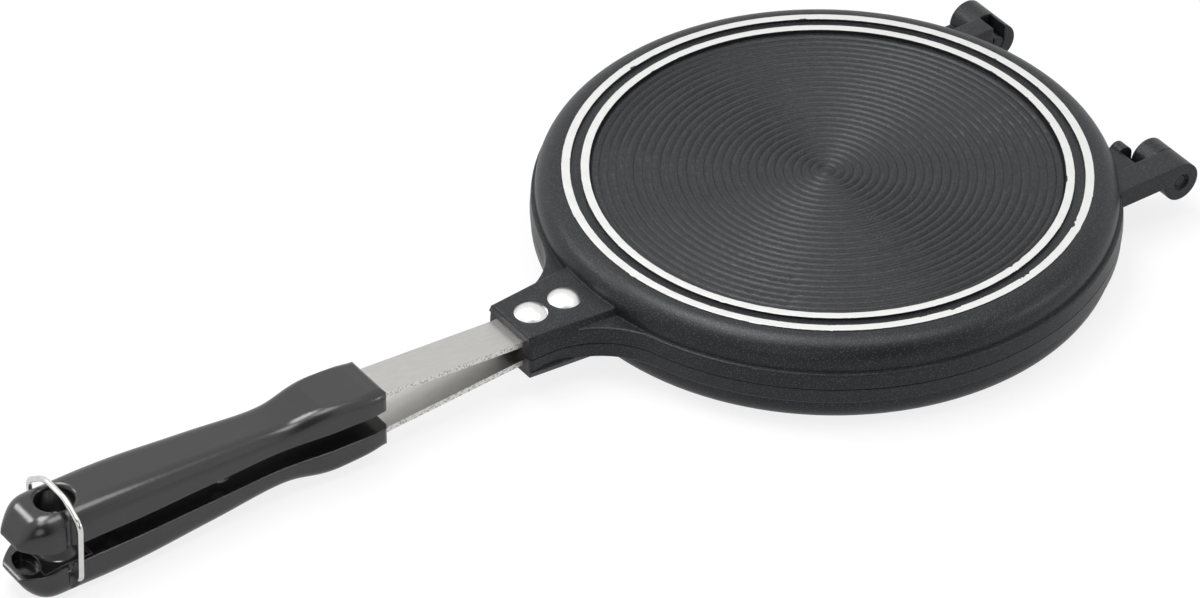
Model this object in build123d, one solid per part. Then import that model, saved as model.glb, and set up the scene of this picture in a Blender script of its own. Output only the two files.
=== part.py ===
"""Stovetop sandwich maker: two round castings hinged face to face.

All sizes are in mm. Every piece is drawn once in a half frame: z = 0 on the
plane where the two pans meet, outer side up, grips along -X, hinge along +X.
The grip has a frame of its own, with x = 0 at its front end.
The upper half is that shape lifted onto the base height. The lower half is
the same shape turned half a turn about X, so each pan carries one outer ear
and one hooked knuckle.
The part's frame has its origin at the centre of the lower pan's base.
"""
import math
import os

from build123d import *

# Pan: outline, seen from the parting plane outwards
half_height = 16.25          # parting plane to the machined base rings
parting_gap = 0.15           # each half stops this far short of the parting plane
flange_radius = 100.0
flange_height = 5.87
flange_draft = 0.4           # the flange side leans in by this much
flange_edge_round = 0.6
ledge_width = 1.7            # from the shoulder's side out to the rim
shoulder_radius = flange_radius - ledge_width
shoulder_arc = 8.0
shoulder_drop = 0.25         # coated shoulder below the bare rings

# Base rings and the ribs inside them
ring_margin = 0.9            # from the shoulder's arc to the outer ring
ring_width = (3.0, 3.05)     # inner, outer
ring_spacing = 3.45
outer_ring_end = shoulder_radius - shoulder_arc - ring_margin
outer_ring = (outer_ring_end - ring_width[1], outer_ring_end)
inner_ring_end = outer_ring[0] - ring_spacing
inner_ring = (inner_ring_end - ring_width[0], inner_ring_end)
ring_groove_depth = 1.0
rib_count = 27
rib_crest_drop = 1.0
rib_depth = 0.6

# Cooking side
pan_wall = 4.3
cavity_radius = shoulder_radius - pan_wall
cavity_draft = 0.6
cavity_depth = 12.2          # from the parting plane
cavity_fillet = 6.0

# Rivets, counted from the shoulder outwards
rivet_setback = 9.6
rivet_pitch = 13.4
rivet_x = (-shoulder_radius - rivet_setback - rivet_pitch, -shoulder_radius - rivet_setback)
rivet_head_diameter = 11.3
rivet_head_height = 2.4
rivet_shank_diameter = 5.0
rivet_tail_diameter = 8.0
rivet_tail_height = 1.4
rivet_clearance = 0.05

# Lug that takes the stem
lug_margin = 8.7             # from the rear rivet to the lug's end
lug_end_x = rivet_x[0] - lug_margin
lug_half_width = 12.3
lug_plan_fillet = 30.0
lug_top_z = 8.5
lug_top_half_width = (10.6, 13.5)   # at the end, and where it meets the pan
lug_root_x = -shoulder_radius
lug_side_taper = 24.0
lug_corner = 1.5
lug_edge_round = 0.9
pocket_width = 15.6
pocket_roof_z = 4.8
pocket_wall = 4.5            # metal left between the pocket and the hollow
pocket_inner_x = -cavity_radius - pocket_wall

# Stem: one strip of flat steel, bent twice
stem_free_length = 54.3      # between the lug and the grip
grip_front_x = lug_end_x - stem_free_length
stem_width = 15.0
stem_thickness = 2.0
stem_start_x = pocket_inner_x - 1.0
stem_bend_margin = 1.5       # each bend lies this far outside the lug and the grip
stem_bend_radius = 12.0
stem_grip_z = 7.2            # mid-thickness inside the grip
tang_width = 11.0
tang_start = -6.7            # in the grip's frame
tang_end = -107.7

# Grip, in its own frame
grip_inner_z = 3.5
# x, half width, top z: the outline measured along the grip
grip_stations = (
    (0.0, 10.8, 11.45), (-5.7, 11.35, 11.85), (-10.7, 11.35, 12.45),
    (-15.7, 11.15, 12.95), (-21.7, 10.9, 13.2), (-27.7, 10.3, 12.7),
    (-34.7, 9.6, 11.55), (-42.7, 9.2, 11.6), (-51.7, 9.45, 12.3),
    (-61.7, 9.95, 13.2), (-73.7, 10.4, 14.15), (-85.7, 10.95, 15.05),
    (-98.7, 11.3, 15.8), (-112.7, 11.35, 16.1),
)
# x, half width, low z, top z, top corner radius: the nose, drawn in to a blunt lip
nose_stations = (
    (-120.2, 11.4, 3.5, 16.1, 6.3), (-124.4, 11.4, 3.6, 16.1, 6.3),
    (-127.2, 11.1, 4.1, 15.85, 6.2), (-129.6, 10.2, 4.6, 15.0, 5.6),
    (-131.8, 8.85, 5.0, 13.4, 4.7), (-133.7, 7.35, 5.4, 11.2, 3.5),
    (-135.2, 5.9, 5.85, 8.6, 1.7), (-135.9, 4.9, 6.25, 7.1, 0.45),
)
grip_front_top_round = 3.4
grip_edge_round = 0.6
lip_edge_round = 0.25
grip_front_round = 3.0
grip_front_margin = 0.02     # the rounded outlines start this far outside the sides
recess_depth = 1.5
recess_x = (-111.7, -128.7)
recess_wall = 2.0
nose_pocket_depth = 5.0
nose_pocket_x = -130.2
nose_pocket_radii = (3.7, 6.2)      # along and across the grip
slot_clearance = 0.3
hang_hole_x = -118.7
hang_hole_radius = 6.25
hang_mouth_round = 1.7
groove_radius = 2.2
groove_depth = 1.3

# Screws that hold the grip on the tang, in the grip's frame
screw_x = (-58.7, -98.7)
screw_diameter = 3.0
screw_head_diameter = 5.6
screw_head_height = 1.6
screw_reach = 3.2            # thread length above the tang
screw_slot_width = 0.8
screw_slot_depth = 0.7
screw_clearance = 0.05

# Hinges
barrel_radius = 7.0
hinge_reach = 6.7            # from the rim to the hinge axis
hinge_x = flange_radius + hinge_reach
ear_outer_y = 59.3
ear_inner_y = 48.9
knuckle_width = 7.9
hinge_offset_y = 0.9         # both hinges sit this far off the grips' centre line
side_gap = 0.3
web_gap = 4.3                # from the barrel back to the solid web
web_end_x = hinge_x - barrel_radius - web_gap
cheek_setback = 6.6
cheek_end_x = hinge_x - cheek_setback
cheek_width = 4.6
cheek_top_z = 7.2
cheek_round = 3.2
pin_diameter = 4.6
pin_recess = 0.9
counterbore_diameter = 6.4
pin_press = 0.01
pin_running = 0.05
hook_slot_clearance = 0.25

# Wire bail latch, in the grip's frame
wire_diameter = 2.0
bail_x = -118.8
groove_x = bail_x - 0.8      # side grooves the wire stands in when upright
bail_pivot_z = -8.2          # measured from the parting plane
bail_tip_y = 6.9
bail_foot_y = 14.2
# y, z of the wire's corners over the grips, near side first, then their radii
bail_corners = ((-15.8, 14.8), (-7.2, 20.1), (5.4, 20.3), (15.5, 13.0))
bail_rounds = (4.5, 9.0, 11.0, 4.5)
bail_foot_round = 2.6
bail_running = 0.06


def ribbed_outline():
    """Edges of the pan's outer side from its axis to the parting plane."""
    pitch = inner_ring[0] / rib_count
    crest = half_height - rib_crest_drop
    valley = crest - rib_depth
    dome_radius = (pitch ** 2 + rib_depth ** 2) / (2 * rib_depth)
    mid_drop = dome_radius - math.sqrt(dome_radius ** 2 - pitch ** 2 / 4)
    edges = [ThreePointArc((0, crest), (pitch / 2, crest - mid_drop), (pitch, valley))]
    for k in range(1, rib_count):
        left = (k * pitch, valley)
        middle = ((k + 0.5) * pitch, crest)
        edges.append(ThreePointArc(left, middle, ((k + 1) * pitch, valley)))
    groove_floor = half_height - ring_groove_depth
    shoulder_z = half_height - shoulder_drop
    arc_centre = (shoulder_radius - shoulder_arc, shoulder_z - shoulder_arc)
    half_step = shoulder_arc * math.sqrt(0.5)
    edges.append(Polyline(
        (inner_ring[0], valley), (inner_ring[0], half_height),
        (inner_ring[1], half_height), (inner_ring[1], groove_floor),
        (outer_ring[0], groove_floor), (outer_ring[0], half_height),
        (outer_ring[1], half_height), (outer_ring[1], shoulder_z),
        (arc_centre[0], shoulder_z)))
    edges.append(ThreePointArc(
        (arc_centre[0], shoulder_z),
        (arc_centre[0] + half_step, arc_centre[1] + half_step),
        (shoulder_radius, arc_centre[1])))
    edges.append(Polyline(
        (shoulder_radius, arc_centre[1]), (shoulder_radius, parting_gap),
        (0, parting_gap), (0, crest)))
    return edges


def cavity_cutter():
    """The shallow drafted hollow on the cooking side, as a body to remove."""
    wall_top = cavity_radius - cavity_draft
    corner = FilletPolyline(
        (0, -1), (cavity_radius, -1), (cavity_radius, parting_gap),
        (wall_top, cavity_depth), (0, cavity_depth),
        radius=(0, 0, 0, cavity_fillet, 0), close=True)
    return revolve(Plane.XZ * make_face(corner), Axis.Z)


def flange_plan():
    """Rim circle with the lug's outline running into it through two fillets."""
    reach = flange_radius + lug_plan_fillet
    rise = lug_half_width + lug_plan_fillet
    line_x = -math.sqrt(reach ** 2 - rise ** 2)
    touch = (line_x * flange_radius / reach, rise * flange_radius / reach)
    middle_angle = math.atan2(touch[1] - rise, touch[0] - line_x) / 2 - math.pi / 4
    middle = (line_x + lug_plan_fillet * math.cos(middle_angle),
              rise + lug_plan_fillet * math.sin(middle_angle))
    side = [ThreePointArc(touch, middle, (line_x, lug_half_width))]
    other = [mirror(edge, about=Plane.XZ) for edge in side]
    outline = side + other + [
        Polyline((line_x, lug_half_width), (lug_end_x, lug_half_width),
                 (lug_end_x, -lug_half_width), (line_x, -lug_half_width)),
        Line((touch[0], -touch[1]), touch)]
    lug = make_face(outline)
    ends = lug.vertices().filter_by(lambda v: abs(v.X - lug_end_x) < 0.01)
    return Circle(flange_radius) + fillet(ends, lug_corner)


def lug_top():
    """Raised block on the lug: a trapezium with sloping sides and soft edges."""
    base_z = flange_height - flange_edge_round
    rise = lug_top_z - base_z
    spread = rise * math.tan(math.radians(lug_side_taper))
    end = lug_top_half_width[0] + spread
    root = lug_top_half_width[1] + spread
    end_x = lug_end_x + flange_draft
    grow = (root - end) / (lug_root_x - lug_end_x)
    inner = -shoulder_radius + shoulder_arc
    wide = root + grow * (inner - lug_root_x)
    plan = make_face(Polyline((end_x - spread, -end), (inner, -wide), (inner, wide),
                              (end_x - spread, end), close=True))
    block = extrude(Plane.XY.offset(base_z) * plan, rise, taper=lug_side_taper)
    block &= bar(end_x, 0, -flange_radius, flange_radius, 0, half_height)
    return fillet(block.faces().sort_by(Axis.Z)[-1].edges(), lug_edge_round)


def bar(x0, x1, y0, y1, z0, z1):
    """Plain block between two corners."""
    centre = ((x0 + x1) / 2, (y0 + y1) / 2, (z0 + z1) / 2)
    return Pos(*centre) * Box(abs(x1 - x0), abs(y1 - y0), abs(z1 - z0))


def rod(radius, y0, y1, x, z):
    """Round bar along Y."""
    middle = Pos(x, (y0 + y1) / 2, z) * Rot(90, 0, 0)
    return middle * Cylinder(radius, abs(y1 - y0))


def post(radius, z0, z1, x, y=0):
    """Round bar along Z."""
    return Pos(x, y, (z0 + z1) / 2) * Cylinder(radius, abs(z1 - z0))


def hinge_arm(y0, y1):
    """Flat arm from the rim that ends in a full barrel on the hinge axis."""
    arm = bar(0, hinge_x, y0, y1, parting_gap, barrel_radius)
    return arm + rod(barrel_radius, y0, y1, hinge_x, 0)


def casting(offset):
    """One pan with its ribs, rings, lug, outer ear, cheek and hooked knuckle."""
    pan = revolve(Plane.XZ * make_face(ribbed_outline()), Axis.Z)
    lean = math.degrees(math.atan(flange_draft / (flange_height - parting_gap)))
    flange = extrude(Plane.XY.offset(parting_gap) * flange_plan(),
                     flange_height - parting_gap, taper=lean)
    flange = fillet(flange.faces().sort_by(Axis.Z)[-1].edges(), flange_edge_round)
    knuckle_y = ear_inner_y - side_gap
    knuckle_inner_y = knuckle_y - knuckle_width
    cheek_y = knuckle_inner_y - side_gap
    ear = hinge_arm(-ear_outer_y, -ear_inner_y)
    knuckle = hinge_arm(knuckle_inner_y, knuckle_y)
    web = bar(0, web_end_x, -ear_inner_y - 1, -cheek_y, parting_gap, flange_height)
    bump_x = cheek_end_x - cheek_round
    bump_z = cheek_top_z - cheek_round
    cheek_inner_y = cheek_width - cheek_y
    cheek = bar(0, bump_x, -cheek_y, cheek_inner_y, parting_gap, flange_height)
    cheek += bar(bump_x - cheek_round, cheek_end_x, -cheek_y, cheek_inner_y,
                 parting_gap, bump_z)
    cheek += rod(cheek_round, -cheek_y, cheek_inner_y, bump_x, bump_z)
    hinge = ear + knuckle + web + cheek
    pin_radius = pin_diameter / 2
    hinge -= rod(pin_radius - pin_press, -ear_outer_y, -ear_inner_y + 1, hinge_x, 0)
    hinge -= rod(counterbore_diameter / 2, -ear_outer_y - 1, -ear_outer_y + pin_recess,
                 hinge_x, 0)
    bore = pin_radius + pin_running
    slot = pin_radius + hook_slot_clearance
    hinge -= rod(bore, knuckle_inner_y - 1, knuckle_y + 1, hinge_x, 0)
    hinge -= bar(hinge_x - slot, hinge_x + slot, knuckle_inner_y - 0.2, knuckle_y + 0.2,
                 0, barrel_radius + 1)
    body = pan + flange + lug_top() + Pos(0, offset, 0) * hinge
    body -= cavity_cutter()
    body -= bar(lug_end_x - 5, pocket_inner_x, -pocket_width / 2, pocket_width / 2,
                -1, pocket_roof_z)
    for x in rivet_x:
        body -= post(rivet_shank_diameter / 2 + rivet_clearance, 0, lug_top_z + 1, x)
    return body


def hinge_pin(offset):
    """Steel pin pressed into the ear and reaching through the other pan's hook."""
    end = ear_inner_y - side_gap - knuckle_width
    pin = rod(pin_diameter / 2, -ear_outer_y + pin_recess, -end, hinge_x, 0)
    return Pos(0, offset, 0) * chamfer(pin.edges().filter_by(GeomType.CIRCLE), 0.3)


def stem():
    """Flat strip: level in the lug, sloping outside it, level in the grip."""
    t = stem_thickness / 2
    lug_z = pocket_roof_z - t
    line = ((stem_start_x, lug_z), (lug_end_x - stem_bend_margin, lug_z),
            (grip_front_x + stem_bend_margin, stem_grip_z),
            (grip_front_x + tang_end, stem_grip_z))
    upper = [(x, z + t) for x, z in line]
    lower = [(x, z - t) for x, z in reversed(line)]
    bend = (0, stem_bend_radius, stem_bend_radius, 0)
    side = FilletPolyline(*upper, *lower, radius=bend + bend, close=True)
    strip = extrude(Plane.XZ * make_face(side), stem_width / 2, both=True)
    trim = stem_width - tang_width
    for way in (-1, 1):
        edge = way * (tang_width / 2 + trim)
        strip -= bar(grip_front_x + tang_start, grip_front_x + tang_end - 1,
                     way * tang_width / 2, edge, 0, half_height)
    for x in rivet_x:
        strip -= post(rivet_shank_diameter / 2 + rivet_clearance, 0, half_height, x)
    for x in screw_x:
        strip -= post(screw_diameter / 2 + screw_clearance, 0, half_height,
                      grip_front_x + x)
    corners = strip.edges().filter_by(Axis.Z)
    ends = corners.sort_by(Axis.X)[:2] + corners.sort_by(Axis.X)[-2:]
    return fillet(ends, 2.0)


def rivet(x):
    """Domed head outside, shank through lug and stem, flat tail inside."""
    head_r = rivet_head_diameter / 2
    dome = (head_r ** 2 + rivet_head_height ** 2) / (2 * rivet_head_height)
    ball = Pos(x, 0, lug_top_z + rivet_head_height - dome) * Sphere(dome)
    head = ball & post(head_r + 1, lug_top_z, lug_top_z + 5, x)
    inner_face = pocket_roof_z - stem_thickness
    shank = post(rivet_shank_diameter / 2, inner_face, lug_top_z + 0.5, x)
    tail = post(rivet_tail_diameter / 2, inner_face - rivet_tail_height, inner_face, x)
    tail = fillet(tail.edges().filter_by(GeomType.CIRCLE).sort_by(Axis.Z)[:1], 0.5)
    return head + shank + tail


def top_round_at(x):
    """Top corner radius, growing steadily from the front to the nose."""
    nose_x, nose_round = nose_stations[0][0], nose_stations[0][-1]
    return grip_front_top_round + x / nose_x * (nose_round - grip_front_top_round)


def grip_section(x, half_width, low, top, top_round, low_round):
    """Rounded rectangle across the grip at one station."""
    plane = Plane(origin=(x, 0, 0), x_dir=(0, 1, 0), z_dir=(1, 0, 0))
    line = FilletPolyline(
        (-half_width, low), (half_width, low), (half_width, top), (-half_width, top),
        radius=(low_round, low_round, top_round, top_round), close=True)
    return plane * make_face(line)


def front_outline(first, second, both_sides):
    """Long outline just outside the grip, with its corners at the front rounded."""
    (x0, edge0), (x1, edge1) = first, second
    length = x0 - nose_stations[-1][0] + 1
    near = edge0 + grip_front_margin
    far = near + (edge1 - edge0) / (x0 - x1) * length
    points = [(0, near), (-length, far)]
    if both_sides:
        points = [(-length, -far), (0, -near)] + points
        rounds = (0, grip_front_round, grip_front_round, 0)
    else:
        points = [(-length, 0), (0, 0)] + points
        rounds = (0, 0, grip_front_round, 0)
    return make_face(FilletPolyline(*points, radius=rounds, close=True))


def grip_blank():
    """Outside of the grip: one loft through the body and the nose, rounded in front."""
    faces = [grip_section(x, w, grip_inner_z, top, top_round_at(x), grip_edge_round)
             for x, w, top in grip_stations]
    for x, w, low, top, top_round in nose_stations:
        faces.append(grip_section(x, w, low, top, top_round, lip_edge_round))
    body = loft(faces)
    (x0, w0, top0), (x1, w1, top1) = grip_stations[:2]
    plan = front_outline((x0, w0), (x1, w1), True)
    side = front_outline((x0, top0), (x1, top1), False)
    body &= extrude(Plane.XY * plan, half_height + 1)
    return body & extrude(Plane.XZ * side, half_height, both=True)


def grip():
    """Phenolic grip: slot for the tang, screw holes, hanging hole and grooves."""
    body = grip_blank()
    tang_top = stem_grip_z + stem_thickness / 2
    tang_low = stem_grip_z - stem_thickness / 2
    wide = stem_width / 2 + slot_clearance
    narrow = tang_width / 2 + slot_clearance
    body -= bar(1, tang_start - slot_clearance, -wide, wide, tang_low - slot_clearance, tang_top)
    body -= bar(0, tang_end - slot_clearance, -narrow, narrow,
                tang_low - slot_clearance, tang_top)
    for x in screw_x:
        body -= post(screw_head_diameter / 2 + slot_clearance, 0, tang_low, x)
        body -= post(screw_diameter / 2 + screw_clearance, tang_low,
                     tang_top + screw_reach + slot_clearance, x)
    _, half_width, top = grip_stations[-1]
    recess_half = half_width - recess_wall
    body -= bar(*recess_x, -recess_half, recess_half, 0, grip_inner_z + recess_depth)
    pocket = Pos(nose_pocket_x, 0) * Ellipse(*nose_pocket_radii)
    body -= extrude(Plane.XY * pocket, grip_inner_z + nose_pocket_depth)
    mouth = hang_hole_radius + hang_mouth_round
    cutter = make_face([
        Polyline((hang_hole_radius, top - hang_mouth_round), (hang_hole_radius, 0), (0, 0),
                 (0, top + 1), (mouth, top + 1), (mouth, top)),
        RadiusArc((hang_hole_radius, top - hang_mouth_round), (mouth, top),
                  hang_mouth_round)])
    body -= Pos(hang_hole_x, 0, 0) * revolve(Plane.XZ * cutter, Axis.Z)
    side_y = half_width - groove_depth + groove_radius
    for way in (-1, 1):
        body -= post(groove_radius, 0, half_height + 1, groove_x, way * side_y)
    return body


def screw(x):
    """Pan-head screw from the inner side, through the tang into the grip."""
    tang_top = stem_grip_z + stem_thickness / 2
    tang_bottom = stem_grip_z - stem_thickness / 2
    head_r = screw_head_diameter / 2
    head = post(head_r, tang_bottom - screw_head_height, tang_bottom, x)
    head = fillet(head.edges().filter_by(GeomType.CIRCLE).sort_by(Axis.Z)[:1], 0.8)
    shank = post(screw_diameter / 2, tang_bottom, tang_top + screw_reach, x)
    low = tang_bottom - screw_head_height
    slot = bar(x - head_r - 1, x + head_r + 1, -screw_slot_width / 2, screw_slot_width / 2,
               low - 1, low + screw_slot_depth)
    return head + shank - slot


def bail():
    """Round wire bent into a loop over the grips, its two ends turned inwards."""
    points = ((-bail_tip_y, bail_pivot_z), (-bail_foot_y, bail_pivot_z), *bail_corners,
              (bail_foot_y, bail_pivot_z), (bail_tip_y, bail_pivot_z))
    plane = Plane(origin=(bail_x, 0, 0), x_dir=(0, 1, 0), z_dir=(1, 0, 0))
    rounds = (bail_foot_round, *bail_rounds, bail_foot_round)
    path = plane * FilletPolyline(*points, radius=rounds)
    start = Plane(origin=path @ 0, z_dir=path % 0)
    return sweep(start * Circle(wire_diameter / 2), path=path)


lift = Pos(0, 0, half_height)
flip = Pos(0, 0, half_height) * Rot(180, 0, 0)
on_stem = Pos(grip_front_x, 0, 0)

stem_shape = stem()
grip_shape = on_stem * grip()
rivets = [rivet(x) for x in rivet_x]
screws = [on_stem * screw(x) for x in screw_x]
pivot = rod(wire_diameter / 2 + bail_running, -bail_foot_y, bail_foot_y, bail_x, bail_pivot_z)

nodes = {
    "lower_pan": flip * casting(-hinge_offset_y),
    "upper_pan": lift * casting(hinge_offset_y),
    "near_hinge_pin": lift * hinge_pin(hinge_offset_y),
    "far_hinge_pin": flip * hinge_pin(-hinge_offset_y),
    "lower_stem": flip * stem_shape,
    "upper_stem": lift * stem_shape,
    "lower_front_rivet": flip * rivets[1],
    "lower_rear_rivet": flip * rivets[0],
    "upper_front_rivet": lift * rivets[1],
    "upper_rear_rivet": lift * rivets[0],
    "lower_grip": flip * grip_shape - lift * on_stem * pivot,
    "upper_grip": lift * grip_shape,
    "lower_front_screw": flip * screws[0],
    "lower_rear_screw": flip * screws[1],
    "upper_front_screw": lift * screws[0],
    "upper_rear_screw": lift * screws[1],
    "latch_bail": lift * on_stem * bail(),
}

os.makedirs("parts", exist_ok=True)
for name, shape in nodes.items():
    export_step(shape, f"parts/{name}.step")
    box = shape.bounding_box()
    print(f"{name:20} {len(shape.solids())} solid  volume {shape.volume / 1000:8.2f} cm3  "
          f"z {box.min.Z:7.2f} to {box.max.Z:6.2f}")
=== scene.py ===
# %% [markdown]
# A stovetop sandwich maker: two round cast pans that close face to face, flat steel stems,
# two moulded black grips and a wire bail that holds the grips together.
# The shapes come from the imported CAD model, so every piece is already in its place.
# This script gives each piece the finish of its real material, then sets up the floor,
# the lights and the camera.

# %% Load the frame
import math

import bpy
from mathutils import Matrix, Vector


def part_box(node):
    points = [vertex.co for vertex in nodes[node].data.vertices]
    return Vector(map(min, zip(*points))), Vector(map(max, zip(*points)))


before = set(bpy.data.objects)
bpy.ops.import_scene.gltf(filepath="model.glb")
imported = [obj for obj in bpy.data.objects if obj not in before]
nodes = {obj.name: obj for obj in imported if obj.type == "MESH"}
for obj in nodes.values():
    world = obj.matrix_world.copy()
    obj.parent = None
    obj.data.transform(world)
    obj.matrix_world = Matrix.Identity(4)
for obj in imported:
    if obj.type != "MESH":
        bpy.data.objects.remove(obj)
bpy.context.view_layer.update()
MM = 0.001

# %% [markdown]
# The two pans meet on one plane, and all heights on the pans are measured from it.
# It lies half way up the pair, so the pans' own boxes give it.

# %% Measure the pans
pan_low, pan_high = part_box("lower_pan")[0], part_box("upper_pan")[1]
parting_z = (pan_low.z + pan_high.z) / 2
half_height = (pan_high.z - pan_low.z) / 2
print(f"parting plane {parting_z / MM:.2f} mm, half height {half_height / MM:.2f} mm")

# %% [markdown]
# Colours are written as the sRGB values that a colour picker shows. Cycles computes with
# linear light, so one function turns the first into the second.

# %% Colours
def linear(code):
    """Hex sRGB to linear RGBA: c / 12.92 up to 0.04045, and above it
    ((c + 0.055) / 1.055) to the power of 2.4."""
    parts = [int(code[k:k + 2], 16) / 255 for k in (1, 3, 5)]
    return tuple(c / 12.92 if c <= 0.04045 else ((c + 0.055) / 1.055) ** 2.4
                 for c in parts) + (1.0,)


print("sRGB #808080 is", round(linear("#808080")[0], 3), "in linear light")

# %% [markdown]
# A material is a tree of shader nodes. One small function adds a node with its settings
# and its inputs in one call, which keeps each material short enough to read as a list of
# what the surface does. Three more start a material, link what was worked out to its
# shader, and put it on its pieces.

# %% Nodes and materials
def add(tree, kind, inputs=None, out=0, **settings):
    """Adds one node and returns the output named by out. A socket given as an input is
    linked, and any other value is set."""
    made = tree.nodes.new("ShaderNode" + kind)
    for name, value in settings.items():
        setattr(made, name, value)
    for name, value in (inputs or {}).items():
        if isinstance(value, bpy.types.NodeSocket):
            tree.links.new(value, made.inputs[name])
        else:
            made.inputs[name].default_value = value
    return made.outputs[out]


def start_material(name, **values):
    """A new material, its node tree and its shader, with these plain values set."""
    material = bpy.data.materials.new(name)
    material.use_nodes = True
    tree = material.node_tree
    shader = tree.nodes["Principled BSDF"]
    for socket, value in values.items():
        shader.inputs[socket.replace("_", " ")].default_value = value
    return material, tree, shader


def link_shader(tree, shader, results):
    """Links each result to the shader's socket of that name."""
    for socket, result in results.items():
        tree.links.new(result, shader.inputs[socket])


def finish_nodes(material, names):
    """Puts one material on several CAD nodes."""
    for name in names:
        nodes[name].material_slots[0].material = material
    print(material.name, "on", len(names), "pieces")


# %% [markdown]
# The pans are cast aluminium under a sprayed non-stick coat. Its fluoropolymer refracts
# less than other plastics, which the low IOR says, so it shows a faint broad sheen and no
# sharp reflection. After coating, the two rings that stand on the hob are faced on a
# lathe down to bare metal.
# One material does both. The rings are the only faces at the full height, so a height
# test finds them, and no face has to be picked by hand. A little noise in the radius
# wavers the coat's edge there. Where a coarser noise peaks, the cutter has missed a low
# spot, and the coat stays further in over the ring.

# %% Where the rings are bare
ring_edges = ((79.9, 82.9), (86.35, 89.4))       # radii of the faced rings, in mm
edge_inset = 0.12                                # mm of coat left on each ring's edges
faced_depth = 0.12                               # mm below the top that counts as faced
ragged_size = 1.6                                # mm, the length of the coat's small bites
ragged_depth = 0.1                               # mm, and how far they reach
missed_size = 6.0                                # mm between spots the cutter may miss
missed_depth = 0.7                               # mm of the ring that stays coated there
missed_levels = (0.62, 0.72)                     # noise values at a spot's edge and inside

pan_coat, tree, shader = start_material("coated_cast_aluminium", IOR=1.36)
place = add(tree, "TexCoord", out="Object")
flat = add(tree, "VectorMath", {0: place, 1: (1, 1, 0)}, operation="MULTIPLY")
radius = add(tree, "VectorMath", {0: flat}, out="Value", operation="LENGTH")
rise = add(tree, "Math", {0: add(tree, "SeparateXYZ", {0: place}, out="Z"), 1: parting_z},
           operation="SUBTRACT")
height = add(tree, "Math", {0: rise}, operation="ABSOLUTE")
on_top = add(tree, "Math", {0: height, 1: half_height - faced_depth * MM},
             operation="GREATER_THAN")
bites = add(tree, "TexNoise", {"Vector": place, "Scale": 1 / (ragged_size * MM)})
shift = add(tree, "MapRange", {"Value": bites, "To Min": -ragged_depth * MM,
                               "To Max": ragged_depth * MM})
lumps = add(tree, "TexNoise", {"Vector": place, "Scale": 1 / (missed_size * MM),
                               "Detail": 4.0})
missed = add(tree, "MapRange", {"Value": lumps, "From Min": missed_levels[0],
                                "From Max": missed_levels[1],
                                "To Max": missed_depth * MM})
wavering = add(tree, "Math", {0: radius, 1: shift}, operation="ADD")
uneven = add(tree, "Math", {0: wavering, 1: missed}, operation="SUBTRACT")
rings = []
for inner, outer in ring_edges:
    above = add(tree, "Math", {0: uneven, 1: (inner + edge_inset) * MM},
                operation="GREATER_THAN")
    below = add(tree, "Math", {0: uneven, 1: (outer - edge_inset) * MM},
                operation="LESS_THAN")
    rings.append(add(tree, "Math", {0: above, 1: below}, operation="MULTIPLY"))
either = add(tree, "Math", {0: rings[0], 1: rings[1]}, operation="ADD")
bare = add(tree, "Math", {0: either, 1: on_top}, operation="MULTIPLY")
print(f"bare rings {ring_edges} mm, from {half_height / MM - faced_depth:.2f} mm up")

# %% [markdown]
# The coat is nearly black, a little blue and slightly rough, with fine light specks in
# it. Voronoi cells place the specks, because each cell gives one speck at its point, and
# plain noise would give clouds. A slow noise changes the coat's thickness, and with it
# the colour. The bare rings take their colour and roughness through the mask above.

# %% Colour and sheen of the pans
speck_pitch = 0.65                               # mm between specks, drawn coarser to show
speck_fade = (0.1, 0.35)                         # a speck's edge, as shares of the pitch
cloud_size = 14                                  # mm, slow changes in the coat's thickness
coat_grain = 0.42                                # mm, the sprayed coat's texture
coat_roughness = (0.28, 0.44)                    # from the grain's smooth to its dull spots
bare_roughness = 0.4                             # satin, as a cutter leaves it

cell = add(tree, "TexVoronoi", {"Vector": place, "Scale": 1 / (speck_pitch * MM)},
           out="Distance")
speck = add(tree, "MapRange", {"Value": cell, "From Min": speck_fade[0],
                               "From Max": speck_fade[1], "To Min": 1.0, "To Max": 0.0})
cloud = add(tree, "TexNoise", {"Vector": place, "Scale": 1 / (cloud_size * MM)})
coat = add(tree, "Mix", {"Factor": cloud, 6: linear("#16171a"), 7: linear("#1c1d21")},
           out=2, data_type="RGBA")
specked = add(tree, "Mix", {"Factor": speck, 6: coat, 7: linear("#46474d")},
              out=2, data_type="RGBA")
base = add(tree, "Mix", {"Factor": bare, 6: specked, 7: linear("#dfdfdd")},
           out=2, data_type="RGBA")
grain = add(tree, "TexNoise", {"Vector": place, "Scale": 1 / (coat_grain * MM),
                               "Detail": 3.0})
coat_rough = add(tree, "MapRange", {"Value": grain, "To Min": coat_roughness[0],
                                    "To Max": coat_roughness[1]})
rough = add(tree, "Mix", {"Factor": bare, 2: coat_rough, 3: bare_roughness},
            out=0, data_type="FLOAT")
print("specks every", speck_pitch, "mm, coat roughness", coat_roughness)

# %% [markdown]
# The relief goes through the same mask: the spray's grain on the coat, and on the rings
# the slow slanted waves that a thin casting gets when it trembles under the cutter. They
# are drawn in the ring's own lengths, angle times radius one way and radius the other.
# Some cast edges, such as the hinge arms', are sharp in the CAD model. Bevelling the mesh
# would change it, so a Bevel node bends only the shading, a little on the turned face,
# whose ribs are fine, and more outside it.

# %% Relief and edges of the pans
chatter_size = 16                                # mm; diagonal waves repeat at 0.63 of it
pan_relief = 0.08                                # mm, height of the grain and the waves
turned_end = 95.0                                # mm, radius where the turned face ends
edge_rounds = (0.4, 0.9)                         # mm, on the turned face and outside it
round_blend = 0.5                                # mm, where the one becomes the other

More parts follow.
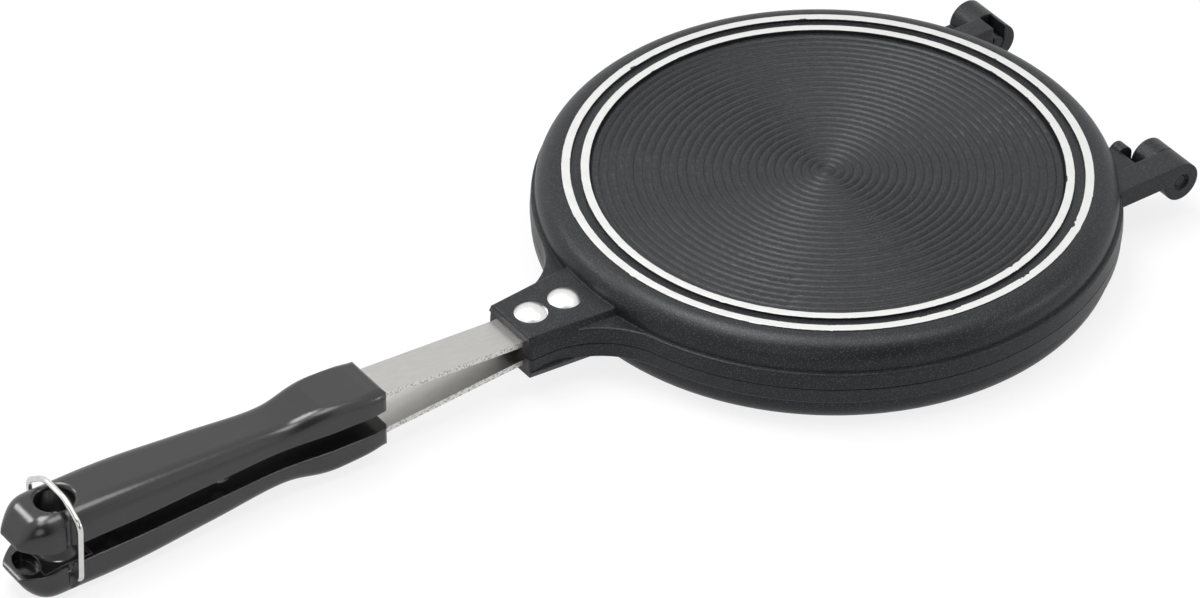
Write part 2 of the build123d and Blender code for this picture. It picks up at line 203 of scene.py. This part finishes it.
angle = add(tree, "Math", {0: add(tree, "SeparateXYZ", {0: place}, out="Y"),
                           1: add(tree, "SeparateXYZ", {0: place}, out="X")},
            operation="ARCTAN2")
along = add(tree, "Math", {0: angle, 1: ring_edges[1][0] * MM}, operation="MULTIPLY")
slanted = add(tree, "CombineXYZ", {0: along, 1: radius})
marks = add(tree, "TexWave", {"Vector": slanted, "Scale": 1 / (chatter_size * MM),
                              "Distortion": 1.5, "Detail": 1.0},
            out="Fac", bands_direction="DIAGONAL")
relief = add(tree, "Mix", {"Factor": bare, 2: grain, 3: marks}, out=0, data_type="FLOAT")
edge_round = add(tree, "MapRange", {"Value": radius, "From Min": turned_end * MM,
                                    "From Max": (turned_end + round_blend) * MM,
                                    "To Min": edge_rounds[0] * MM,
                                    "To Max": edge_rounds[1] * MM})
soft_edge = add(tree, "Bevel", {"Radius": edge_round}, samples=4)
surface = add(tree, "Bump", {"Height": relief, "Distance": pan_relief * MM,
                             "Strength": 0.8, "Normal": soft_edge})
link_shader(tree, shader, {"Base Color": base, "Metallic": bare, "Roughness": rough,
                           "Normal": surface})
finish_nodes(pan_coat, ["lower_pan", "upper_pan"])

# %% [markdown]
# The grips are phenolic, the hard plastic of pan handles, pressed in a polished mould.
# It is black all through and refracts more than most plastics, so it has a wet looking
# gloss. The moulding shrinks a little as it cures, which leaves a slow waviness and a
# fine grain, and those break the reflections up just enough to look real. Two noises
# make them, one for each size, so that each can be set by itself.

# %% Phenolic grips
wave_size = 9                                    # mm, the slow waviness
wave_relief = 0.1                                # mm, and its height
pore_size = 0.5                                  # mm, the fine grain, drawn coarser to show
pore_relief = 0.01                               # mm, and its height
grip_roughness = (0.14, 0.26)                    # from the grain's glossy to its dull spots
grip_round = 0.8                                 # mm, how far the mould's edges are softened

phenolic, tree, shader = start_material("black_phenolic", IOR=1.62)
place = add(tree, "TexCoord", out="Object")
wave = add(tree, "TexNoise", {"Vector": place, "Scale": 1 / (wave_size * MM)})
pores = add(tree, "TexNoise", {"Vector": place, "Scale": 1 / (pore_size * MM),
                               "Detail": 2.0})
base = add(tree, "Mix", {"Factor": wave, 6: linear("#131314"), 7: linear("#19191b")},
           out=2, data_type="RGBA")
rough = add(tree, "MapRange", {"Value": pores, "To Min": grip_roughness[0],
                               "To Max": grip_roughness[1]})
soft_edge = add(tree, "Bevel", {"Radius": grip_round * MM}, samples=4)
swell = add(tree, "Bump", {"Height": wave, "Distance": wave_relief * MM,
                           "Strength": 0.25, "Normal": soft_edge})
surface = add(tree, "Bump", {"Height": pores, "Distance": pore_relief * MM,
                             "Strength": 0.4, "Normal": swell})
link_shader(tree, shader, {"Base Color": base, "Roughness": rough, "Normal": surface})
finish_nodes(phenolic, ["lower_grip", "upper_grip"])

# %% [markdown]
# Each stem is cut from cold-rolled flat steel. Rolling leaves fine lines along its length
# and a satin face. The long edges come from the shear, so they are rougher and brighter,
# with small torn pits. They are the only faces that look sideways, so one material can
# tell them from the rolled faces by their direction.

# %% Rolled steel stems with sheared edges
line_width = 0.35                                # mm between rolling lines
stretch = 0.02                                   # which makes them 50 times as long
tear_size = 0.7                                  # mm, the sheared edge's pits
tear_levels = (0.36, 0.5)                        # noise values from a pit to the clean metal
sideways = 0.8                                   # how squarely a sheared edge looks sideways
steel_roughness = (0.34, 0.5)                    # of the rolled faces and the sheared edges
steel_relief = 0.05                              # mm, height of the lines and the pits

stem_steel, tree, shader = start_material("rolled_steel_strip", Metallic=1.0)
place = add(tree, "TexCoord", out="Object")
drawn = add(tree, "Mapping", {"Vector": place, "Scale": (stretch, 1, 1)})
lines = add(tree, "TexNoise", {"Vector": drawn, "Scale": 1 / (line_width * MM),
                               "Detail": 2.0})
tears = add(tree, "TexNoise", {"Vector": place, "Scale": 1 / (tear_size * MM),
                               "Detail": 4.0})
facing = add(tree, "SeparateXYZ", {0: add(tree, "NewGeometry", out="Normal")}, out="Y")
side = add(tree, "Math", {0: add(tree, "Math", {0: facing}, operation="ABSOLUTE"),
                          1: sideways}, operation="GREATER_THAN")
rolled = add(tree, "Mix", {"Factor": lines, 6: linear("#adaca9"), 7: linear("#c4c3c1")},
             out=2, data_type="RGBA")
pitted = add(tree, "MapRange", {"Value": tears, "From Min": tear_levels[0],
                                "From Max": tear_levels[1]})
torn = add(tree, "Mix", {"Factor": pitted, 6: linear("#a3a19e"), 7: linear("#e2e2df")},
           out=2, data_type="RGBA")
base = add(tree, "Mix", {"Factor": side, 6: rolled, 7: torn}, out=2, data_type="RGBA")
rough = add(tree, "MapRange", {"Value": side, "To Min": steel_roughness[0],
                               "To Max": steel_roughness[1]})
relief = add(tree, "Mix", {"Factor": side, 2: lines, 3: tears}, out=0, data_type="FLOAT")
surface = add(tree, "Bump", {"Height": relief, "Distance": steel_relief * MM,
                             "Strength": 0.5})
link_shader(tree, shader, {"Base Color": base, "Roughness": rough, "Normal": surface})
finish_nodes(stem_steel, ["lower_stem", "upper_stem"])

# %% [markdown]
# The small metal pieces differ mostly in how they were finished. The rivets are soft
# aluminium, tumbled bright, and their domes still show faint dents from setting. The bail
# is drawn wire with bright nickel on it. The hinge pins were coated together with the
# pans, and the grip screws are plain zinc-plated steel. One function makes all four,
# because only their colours, spot size, roughness and relief differ.

# %% Rivets, wire, pins and screws
def small_metal(name, low, high, spot, roughness, depth):
    """Metal whose colour and height follow one noise of the given spot size in mm:
    colour runs from low to high, and depth is the noise's relief in mm."""
    material, tree, shader = start_material(name, Metallic=1.0, Roughness=roughness)
    place = add(tree, "TexCoord", out="Object")
    noise = add(tree, "TexNoise", {"Vector": place, "Scale": 1 / (spot * MM),
                                   "Detail": 3.0})
    colour = add(tree, "Mix", {"Factor": noise, 6: linear(low), 7: linear(high)},
                 out=2, data_type="RGBA")
    surface = add(tree, "Bump", {"Height": noise, "Distance": depth * MM,
                                 "Strength": 0.5})
    link_shader(tree, shader, {"Base Color": colour, "Normal": surface})
    return material


ends = [f"{half}_{end}" for half in ("lower", "upper") for end in ("front", "rear")]
rivet_metal = small_metal("tumbled_aluminium", "#d6d6d4", "#f0f0ee", 1.5, 0.3, 0.03)
wire_metal = small_metal("bright_nickel_wire", "#cfcecb", "#e6e5e2", 3.0, 0.14, 0.01)
pin_metal = small_metal("coated_pin", "#2c2d30", "#4c4d50", 0.8, 0.5, 0.02)
screw_metal = small_metal("zinc_plated_steel", "#8d9096", "#b4b7bb", 1.2, 0.35, 0.02)
finish_nodes(rivet_metal, [f"{end}_rivet" for end in ends])
finish_nodes(wire_metal, ["latch_bail"])
finish_nodes(pin_metal, ["near_hinge_pin", "far_hinge_pin"])
finish_nodes(screw_metal, [f"{end}_screw" for end in ends])

# %% [markdown]
# The photograph shows the pan on plain white. The floor is a large matt sheet at the
# height the pan stands on. To the camera it is mostly an even white, and to reflections
# a slightly darker one. The rest of it is an ordinary matt surface, which keeps a soft
# shadow under the pan. More light on a plain floor would whiten it too, but it would
# also wash out the pan.

# %% Floor
floor_half = 6.0                                 # metres from the middle to each edge
even_white = 0.82                                # the share of the floor that is even white
mirrored_floor = 0.76                            # how bright that white is in reflections
corners = [(-floor_half, -floor_half, 0), (floor_half, -floor_half, 0),
           (floor_half, floor_half, 0), (-floor_half, floor_half, 0)]
sheet = bpy.data.meshes.new("floor")
sheet.from_pydata(corners, [], [(0, 1, 2, 3)])
floor = bpy.data.objects.new("floor", sheet)
bpy.context.scene.collection.objects.link(floor)

paper, tree, shader = start_material("white_sheet", Roughness=0.9)
shader.inputs["Base Color"].default_value = linear("#efefef")
seen = add(tree, "Math", {0: add(tree, "LightPath", out="Is Camera Ray"),
                          1: add(tree, "LightPath", out="Is Glossy Ray")},
           operation="MAXIMUM")
share = add(tree, "Math", {0: seen, 1: even_white}, operation="MULTIPLY")
strength = add(tree, "MapRange", {"Value": add(tree, "LightPath", out="Is Camera Ray"),
                                  "To Min": mirrored_floor, "To Max": 1.0})
glow = add(tree, "Emission", {"Color": linear("#ffffff"), "Strength": strength})
sheet_shader = add(tree, "MixShader", {0: share, 1: shader.outputs[0], 2: glow})
tree.links.new(sheet_shader, tree.nodes["Material Output"].inputs["Surface"])
sheet.materials.append(paper)
print("floor at z = 0,", 2 * floor_half, "m wide")

# %% [markdown]
# The world is white to the camera, so no horizon shows, and in reflections, so metal
# mirrors white. It lights the pan at a lower level, which leaves the shaping to the
# lamps. Only the room in front of the pan, low on the viewer's side, is darker in
# reflections, like the unlit end of a studio. The shoulder's foot and the nose mirror it.

# %% World
room_level = 0.4                                 # the room's light on the pan and floor
dark_side = (-0.5, -0.8, 0.35)                   # direction of the room's darker part
dark_edge = (0.5, 0.9)                           # it fades in between these cosines
dark_level = 0.15                                # its brightness in reflections

world = bpy.data.worlds.new("studio")
bpy.context.scene.world = world
world.use_nodes = True
tree = world.node_tree
room_light = tree.nodes["Background"]
room_light.inputs["Color"].default_value = linear("#ffffff")
room_light.inputs["Strength"].default_value = room_level
white = add(tree, "Background", {"Color": linear("#ffffff"), "Strength": 1.0})
heading = add(tree, "TexCoord", out="Generated")
facing = add(tree, "VectorMath", {0: heading, 1: Vector(dark_side).normalized()},
             out="Value", operation="DOT_PRODUCT")
dimmed = add(tree, "MapRange", {"Value": facing, "From Min": dark_edge[0],
                                "From Max": dark_edge[1], "To Min": 1.0,
                                "To Max": dark_level}, interpolation_type="SMOOTHSTEP")
mirrored = add(tree, "Background", {"Color": linear("#ffffff"), "Strength": dimmed})
in_mirror = add(tree, "LightPath", out="Is Glossy Ray")
inner = add(tree, "MixShader", {0: in_mirror, 1: room_light.outputs[0], 2: mirrored})
seen = add(tree, "LightPath", out="Is Camera Ray")
both = add(tree, "MixShader", {0: seen, 1: inner, 2: white})
tree.links.new(both, tree.nodes["World Output"].inputs["Surface"])
print("room light", room_level, "and", dark_level, "in its dark part's reflection")

# %% [markdown]
# Product photographs use soft lamps, and each mirrored lamp shows a shape. The back
# lamp runs across the ribs in two fans and along the grips' tops. The front and left ones
# draw the band on the shoulder and the bright line on the rim's edge, and the right one
# carries that band round the right side. The one behind brightens the hinge barrels, and
# a weak one at the camera's left fills the sides that face the viewer.

# %% Soft lamps
def soft_lamp(name, where, aim, size, watts):
    """A round area lamp at a place in metres, turned to face a point."""
    data = bpy.data.lights.new(name, "AREA")
    data.shape = "DISK"
    data.size = size
    data.energy = watts
    lamp = bpy.data.objects.new(name, data)
    lamp.location = where
    lamp.rotation_euler = (Vector(aim) - Vector(where)).to_track_quat("-Z", "Y").to_euler()
    bpy.context.scene.collection.objects.link(lamp)
    print(name, "lamp", watts, "W")


half_way = (-0.05, 0, 0)                         # metres, between the pan's middle and lug
under_lug = (-0.1, 0, 0)
soft_lamp("back", (-0.24, 0.45, 1.52), half_way, 0.8, 14)
soft_lamp("front", (0.2, -0.4, 1.5), half_way, 0.7, 5)
soft_lamp("left", (-0.6, -0.05, 1.45), half_way, 0.7, 5)
soft_lamp("right", (1.2, -1.2, 0.45), half_way, 0.4, 3)
soft_lamp("behind", (-0.9, 1.25, 1.15), half_way, 0.5, 6)
soft_lamp("fill", (-1.4, -1.2, 0.9), under_lug, 1.0, 4)

# %% [markdown]
# The camera stands where the photograph was taken from. Its direction, distance, lens and
# small roll were worked out from the circles of the rings and rim and from the grips.
# The camera's own axes are built from azimuth and elevation, then rolled.

# %% Camera
image_size = (1200, 598)
focal_pixels = 6143.7
azimuth, elevation, roll = (math.radians(a) for a in (-35.564, 37.594, 0.307))
aim = Vector((-92.22, 1.84, parting_z / MM)) * MM
distance = 2029.3 * MM
back = Vector((math.sin(azimuth) * math.cos(elevation),
               -math.cos(azimuth) * math.cos(elevation), math.sin(elevation)))
level = Vector((math.cos(azimuth), math.sin(azimuth), 0))
upright = back.cross(level)
right = level * math.cos(roll) + upright * math.sin(roll)
up = upright * math.cos(roll) - level * math.sin(roll)
lens = bpy.data.cameras.new("photograph")
lens.sensor_width = 36
lens.lens = focal_pixels / image_size[0] * lens.sensor_width
camera = bpy.data.objects.new("photograph", lens)
camera.matrix_world = Matrix.Translation(aim + back * distance) @ Matrix(
    (right, up, back)).transposed().to_4x4()
bpy.context.scene.collection.objects.link(camera)
bpy.context.scene.camera = camera
bpy.context.scene.view_settings.view_transform = "Standard"
print(f"camera at {tuple(round(v, 3) for v in camera.location)}, lens {lens.lens:.1f} mm")
